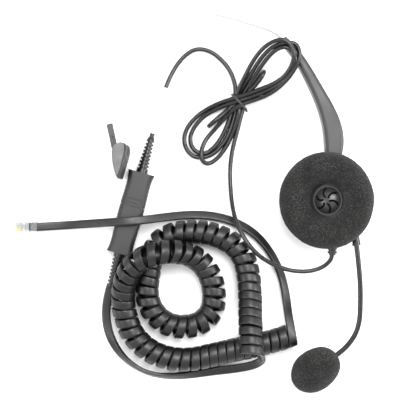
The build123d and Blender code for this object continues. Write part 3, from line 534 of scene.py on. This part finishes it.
COIL_ROUTE = [  # the coil's middle line, from the plug lead round the ring to the other end
    (28.8, -72.9, COIL_FLOOR), (21.8, -75.5, COIL_FLOOR), (14.6, -77.6, COIL_FLOOR),
    (5.6, -79.6, COIL_FLOOR), (-4.4, -81.6, COIL_FLOOR), (-14.8, -84.1, COIL_FLOOR),
    (-28.4, -87.2, COIL_FLOOR), (-40.8, -85.8, COIL_FLOOR), (-50.6, -81.6, COIL_FLOOR),
    (-57.4, -75.6, COIL_FLOOR), (-62.0, -67.8, COIL_FLOOR), (-64.6, -57.6, 7.4),
    (-64.8, -47.8, 10.2), (-62.6, -40.2, 14.2), (-59.0, -34.2, 17.0), (-53.6, -29.8, 20.0),
    (-45.8, -27.2, 20.6), (-38.2, -26.2, 18.4), (-30.4, -27.1, 13.8), (-24.2, -30.2, 9.8),
    (-18.9, -35.4, 7.2), (-15.4, -42.4, COIL_FLOOR), (-14.1, -51.8, COIL_FLOOR),
    (-15.4, -60.2, COIL_FLOOR), (-20.8, -66.0, COIL_FLOOR), (-28.6, -68.6, COIL_FLOOR),
    (-37.2, -68.2, COIL_FLOOR), (-44.6, -64.4, COIL_FLOOR), (-49.6, -58.0, COIL_FLOOR),
    (-51.7, -49.6, COIL_FLOOR), (-51.0, -41.4, COIL_FLOOR), (-50.0, -34.2, COIL_FLOOR),
    (-48.6, -27.4, COIL_FLOOR), (-44.6, -20.8, COIL_FLOOR), (-37.4, -16.8, COIL_FLOOR),
    (-28.6, -15.6, COIL_FLOOR), (-19.6, -16.0, COIL_FLOOR), (-11.2, -18.2, COIL_FLOOR),
    (-3.6, -22.4, COIL_FLOOR), (2.0, -29.2, COIL_FLOOR), (4.7, -38.4, 7.0), (5.6, -49.4, 9.2),
    (5.6, -60.6, 13.6), (5.6, -71.2, 18.6), (6.4, -81.8, 21.4),
]
PLUG_LEAD = [  # from inside the plug, over the connector, round to the coil's near end
    (-117.0, -13.0, 5.4), (-112.6, -13.0, 5.4), (-104.0, -12.6, 3.6), (-93.0, -11.9, 3.4),
    (-80.4, -11.0, 7.4), (-67.4, -10.1, 12.4), (-54.0, -9.3, 12.4), (-41.6, -7.6, 7.0),
    (-29.4, -6.3, 2.6), (-18.0, -6.5, 1.6), (-8.6, -8.2, 1.7), (0.2, -11.6, 1.9), (8.0, -16.4, 2.0),
    (14.3, -22.9, 2.1), (19.5, -30.8, 2.1), (23.3, -39.6, 2.1), (25.5, -48.8, 2.6),
    (26.4, -57.0, 4.8), (27.1, -63.0, 8.6),
]
PLUG_LEAD_ROLL = [0, 0, 0, 5, 8, 5, 10, 18, 24, 24, 26, 30, 38, 44, 44, 38, 26, 12, 4]
COIL_START = 180  # degrees round the coil where the connector lead goes over into its first turn
COIL_END = 85  # and where its last turn goes over into the plug lead
BEND_SPAN = 6  # points of the middle line on each side that its bend is measured over
MOST_FAN = 0.22  # the largest share by which turns spread apart in a bend
TURN_WOBBLE = 0.14 * MM


def winding_angles(axis, ways):
    """Degrees of winding up to each point of the coil's middle line.

    Turns touch where the coil is straight. Where it bends they touch inside and fan out outside.
    """
    along = [0.0]
    for a, b in zip(axis, axis[1:]):
        along.append(along[-1] + (b - a).length)
    rates = []
    for i in range(len(axis)):
        low, high = max(i - BEND_SPAN, 0), min(i + BEND_SPAN, len(axis) - 1)
        bend = ways[high].angle(ways[low]) / (along[high] - along[low])
        fan = 1 - min(bend * (COIL_RADIUS + 0.3 * MM), MOST_FAN)
        rates.append(360 * fan / (CORD_WIDTH + TURN_GAP))
    angles = [0.0]
    for i in range(1, len(axis)):
        angles.append(angles[-1] + (rates[i] + rates[i - 1]) / 2 * (along[i] - along[i - 1]))
    return angles


def coil_turns(axis):
    """Points of the left-handed winding round the coil's middle line, with the axis direction."""
    ways = tangents(axis)
    angles = winding_angles(axis, ways)
    wanted = COIL_START - COIL_END
    whole = round((angles[-1] - wanted) / 360) * 360 + wanted
    stretch = whole / angles[-1]
    step = 360 / TURN_POINTS
    count = int(whole / step)
    dice = random.Random(7)
    wobble = [dice.uniform(-1, 1) for _ in range(count // TURN_POINTS + 2)]
    radius = COIL_RADIUS / cos(pi / TURN_POINTS)
    points = []
    directions = []
    at = 0
    for k in range(count + 1):
        turned = k * step
        while at < len(axis) - 2 and angles[at + 1] * stretch < turned:
            at += 1
        share = (turned / stretch - angles[at]) / (angles[at + 1] - angles[at])
        centre = axis[at].lerp(axis[at + 1], min(share, 1.0))
        way = ways[at].lerp(ways[at + 1], min(share, 1.0)).normalized()
        side = UP.cross(way).normalized()
        top = way.cross(side)
        a = radians(COIL_START - turned)
        out = side * cos(a) + top * sin(a)
        turn, part = divmod(k, TURN_POINTS)
        shift = wobble[turn] * (1 - part / TURN_POINTS) + wobble[turn + 1] * (part / TURN_POINTS)
        points.append(centre + out * radius + side * shift * TURN_WOBBLE)
        directions.append(way)
    return points, directions


def lead_widths(points, rolls):
    """The flat cord's width direction along a lead: level, then rolled by so many degrees."""
    widths = []
    for way, roll in zip(tangents(points), rolls):
        level = UP.cross(way).normalized()
        widths.append(Matrix.Rotation(radians(roll), 3, way) @ level)
    return widths


def ring_directions(widths, rings, resolution):
    """Width directions for every ring of the smooth line, without a flip between neighbours."""
    for i in range(1, len(widths)):
        if widths[i].dot(widths[i - 1]) < 0:
            widths[i] = -widths[i]
    directions = []
    for i in range(rings):
        at = min(i / resolution + 0.5, len(widths) - 1.001)
        directions.append(widths[int(at)].lerp(widths[int(at) + 1], at - int(at)))
    return directions


def line_cord(materials):
    """The flat line cord in one spline: connector lead, curly coil, plug lead."""
    lead = metres(CONNECTOR_LEAD)
    plug_lead = list(reversed(metres(PLUG_LEAD)))
    axis = line_of(list(reversed(metres(COIL_ROUTE))), 12)
    coil, coil_ways = coil_turns(axis)
    points = lead + coil + plug_lead
    widths = lead_widths(lead, CONNECTOR_LEAD_ROLL) + coil_ways
    widths += lead_widths(plug_lead, list(reversed(PLUG_LEAD_ROLL)))
    line = line_of(points, CORD_RESOLUTION)
    across = ring_directions(widths, len(line), CORD_RESOLUTION)
    cord = sweep("line_cord_flat", line, across, rounded_section(CORD_WIDTH, CORD_THICK))
    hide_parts("line_connector_lead", "line_coil", "line_plug_lead")
    show(cord, "line_cord", materials["cord_rubber"])


# ---- ear capsule, boom and microphone ---------------------------------------------------------------
EAR_TILT = radians(20)
EAR_Y = 1.7 * MM
EAR_TURN = Matrix.Rotation(-EAR_TILT, 3, "Y")
CUSHION_PROFILE = [  # radius and height over the swivel line, from the hole round the outside
    (10.9, 9.9), (10.0, 10.4), (9.3, 11.2), (9.5, 12.6), (10.3, 14.6), (11.6, 16.7), (13.4, 18.6),
    (15.9, 19.9), (18.6, 20.45), (21.2, 20.2), (23.6, 18.9), (25.3, 16.8), (26.3, 14.2),
    (26.5, 11.6), (25.6, 9.3), (23.8, 7.9), (21.4, 7.7), (20.1, 8.4), (19.9, 9.4), (18.4, 9.9),
]
BOOM_ROUTE = [
    (63.2, -20.0, 19.7), (64.6, -31.0, 18.8), (65.7, -42.6, 17.5), (66.0, -50.0, 16.6),
    (66.0, -54.8, 16.0), (65.9, -63.4, 15.0), (64.0, -71.4, 13.9), (59.5, -78.2, 12.9),
    (54.2, -83.0, 12.2), (48.2, -87.2, 11.8),
]
BOOM_RADIUS = 1.45 * MM
MIC_CENTRE = Vector((41.7, -91.8, 11.65)) * MM
MIC_WAY = Vector((-0.80, -0.59, -0.03)).normalized()
MIC_PROFILE = [  # radius, and distance from the middle along the microphone
    (1.6, -14.3), (3.7, -13.8), (6.0, -12.6), (8.2, -10.5), (9.9, -7.5), (11.0, -3.7),
    (11.5, 0.4), (11.0, 4.6), (9.7, 8.0), (7.6, 11.0), (4.9, 13.3), (2.2, 14.3), (0.5, 14.4),
]


def middle_of(node):
    """The middle of a CAD node's box."""
    low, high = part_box(node)
    return (Vector(low) + Vector(high)) / 2


def ear_point(x, y, z):
    """A point in the capsule's own directions, in metres, as a place."""
    swivel = middle_of("swivel_pin")
    return Vector((swivel.x, EAR_Y, swivel.z)) + EAR_TURN @ Vector((x, y, z))


def dense(profile, spacing, closed):
    """A profile's smooth outline with points about a spacing apart."""
    points = [Vector((r, 0, h)) * MM for r, h in profile]
    line = closed_line(points) if closed else line_of(points, 10)
    picked = [line[0]]
    for p in line:
        if (p - picked[-1]).length >= spacing:
            picked.append(p)
    return picked


PORE_DEPTH = 0.17 * MM
UNEVENNESS = 0.16 * MM


def porous(p):
    """How far the foam's surface moves at a place: small pores and a slow unevenness."""
    pores = noise.noise(p * 1050)
    slow = noise.noise(p * 95 + Vector((3, 1, 7)))
    return PORE_DEPTH * pores + UNEVENNESS * slow


def foam_turned(name, profile, spacing, around, place, closed):
    """A turned foam piece, its surface roughened. place turns (x, y, z) into a point."""
    line = dense(profile, spacing, closed)
    rows = []
    for p in line:
        for k in range(around):
            a = 2 * pi * k / around
            rows.append(Vector((p.x * cos(a), p.x * sin(a), p.z)))
    faces = ring_faces(len(line), around, closed)
    if not closed:
        faces.append(tuple(range(around)))
        faces.append(tuple(range(len(rows) - around, len(rows))))
    obj = mesh_object(name, [place(*p) for p in rows], faces)
    normals = [v.normal.copy() for v in obj.data.vertices]
    for vertex, normal in zip(obj.data.vertices, normals):
        vertex.co += normal * porous(vertex.co)
    obj.data.update()
    return obj


def ear_cushion(material):
    """The foam cushion, modelled with a roughened surface."""
    cushion = foam_turned("foam_ear_cushion", CUSHION_PROFILE, 0.55 * MM, 250, ear_point, True)
    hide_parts("ear_cushion")
    show(cushion, "capsule", material)


def microphone_foam(material):
    """The egg-shaped foam windscreen along the microphone."""
    across = MIC_WAY.cross(UP).normalized()
    over = across.cross(MIC_WAY)

    def place(x, y, z):
        return MIC_CENTRE + across * x + over * y + MIC_WAY * z

    windscreen = foam_turned("foam_windscreen", MIC_PROFILE, 0.5 * MM, 120, place, False)
    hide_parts("microphone_foam")
    show(windscreen, "boom_tip", material)


def boom(material):
    """The bendable boom: one sheath that bends across its flexible stretch."""
    line = line_of(metres(BOOM_ROUTE), 12)
    circle = [(BOOM_RADIUS * cos(pi * k / 8), BOOM_RADIUS * sin(pi * k / 8)) for k in range(16)]
    sheath = sweep("boom_sheath_tube", line, [UP] * len(line), circle)
    bpy.context.scene.collection.objects.link(sheath)
    sheath.data.materials.append(material)
    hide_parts("boom_upper_wire", "boom_lower_wire")
    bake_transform(sheath)


# ---- temple pad -------------------------------------------------------------------------------------
PAD_OUTLINE = [  # the leaf-shaped section about its pin, from its thick end round to its tip
    (1.7, 7.4), (-1.3, 6.5), (-3.2, 4.4), (-3.5, 1.0), (-2.9, -5.0), (-1.6, -9.8),
    (-0.8, -11.8), (0.3, -9.3), (2.0, -3.2), (3.6, 3.0), (3.3, 6.2),
]
PAD_HALF = 21.45 * MM
PAD_ROUND = 1.1 * MM
NOTCH_HALF = 4.8 * MM  # half the height of the notch for the clip
NOTCH_FROM = -3.0 * MM  # the notch is open on this side of the pin
NOTCH_STEP = 0.02 * MM  # height of the notch's slanted wall, nearly flat


def leaf_bar(name, outline, half, rounding):
    """A bar of leaf-shaped section that stands on its end, rounded over at both ends."""
    pivot = middle_of("temple_pad_pin")
    section = closed_line([Vector((x, y, 0)) * MM for x, y in outline])
    middle = sum(section, Vector()) / len(section)
    levels = []
    for k in range(7):
        a = pi / 2 * k / 6
        levels.append((half - rounding * (1 - sin(a)), rounding * (1 - cos(a))))
    profile = [(-z, inset) for z, inset in reversed(levels)]
    profile += [(-NOTCH_HALF, 0.0), (-NOTCH_HALF + NOTCH_STEP, 0.0)]
    profile += [(NOTCH_HALF - NOTCH_STEP, 0.0), (NOTCH_HALF, 0.0)]
    profile += levels
    points = []
    for z, inset in profile:
        for p in section:
            away = p - middle
            q = middle + away * (1 - inset / away.length)
            if abs(z) < NOTCH_HALF:
                q.y = min(q.y, NOTCH_FROM)
            points.append(pivot + Vector((q.x, q.y, z)))
    faces = ring_faces(len(profile), len(section))
    faces.append(tuple(range(len(section))))
    faces.append(tuple(range(len(points) - len(section), len(points))))
    return mesh_object(name, points, faces)


def temple_pad(materials):
    """The T-bar pad's light cover. Its dark face is the CAD's own."""
    pad = leaf_bar("temple_pad_cover", PAD_OUTLINE, PAD_HALF, PAD_ROUND)
    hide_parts("temple_pad")
    show(pad, "pad", materials["pad_rubber"])


# ---- floor and light ----------------------------------------------------------------------------------
FLOOR_HALF = 3.0


def make_floor():
    """A plain white table top."""
    corners = [(-FLOOR_HALF, -FLOOR_HALF, 0), (FLOOR_HALF, -FLOOR_HALF, 0),
               (FLOOR_HALF, FLOOR_HALF, 0), (-FLOOR_HALF, FLOOR_HALF, 0)]
    floor = mesh_object("floor", corners, [(0, 1, 2, 3)], smooth=False)
    floor.location.z = -0.2 * MM
    bpy.context.scene.collection.objects.link(floor)
    finish = Finish("table_top", 0.6, specular=0.2)
    finish.colours(finish.noise(30, 3), (0.3, grey(0.90)), (0.7, grey(0.93)))
    floor.data.materials.append(finish.material)


def area_light(name, place, aim, size, power):
    data = bpy.data.lights.new(name, "AREA")
    data.shape = "SQUARE"
    data.size = size
    data.energy = power
    light = bpy.data.objects.new(name, data)
    light.location = place
    light.rotation_mode = "QUATERNION"
    light.rotation_quaternion = (Vector(aim) - Vector(place)).to_track_quat("-Z", "Y")
    bpy.context.scene.collection.objects.link(light)


def make_lights():
    """A large soft overhead light, one from each side, and a pale bright room."""
    area_light("overhead", (0.15, 0.45, 1.3), (0, 0, 0), 0.7, 20)
    area_light("right", (1.1, 0.1, 0.7), (0, 0, 0), 0.5, 12)
    area_light("left", (-1.0, -0.2, 0.8), (0, 0, 0), 0.5, 5)
    world = bpy.data.worlds.new("room")
    world.use_nodes = True
    background = world.node_tree.nodes["Background"]
    background.inputs["Color"].default_value = (1.0, 1.0, 1.0, 1.0)
    background.inputs["Strength"].default_value = 1.15
    bpy.context.scene.world = world
    bpy.context.scene.view_settings.view_transform = "Standard"


# ---- build --------------------------------------------------------------------------------------------
make_camera()
materials = make_materials()
finish_cad_nodes(materials)
headset_cable(materials)
line_cord(materials)
ear_cushion(materials["foam"])
microphone_foam(materials["foam"])
boom(materials["boom_sheath"])
temple_pad(materials)
make_floor()
make_lights()
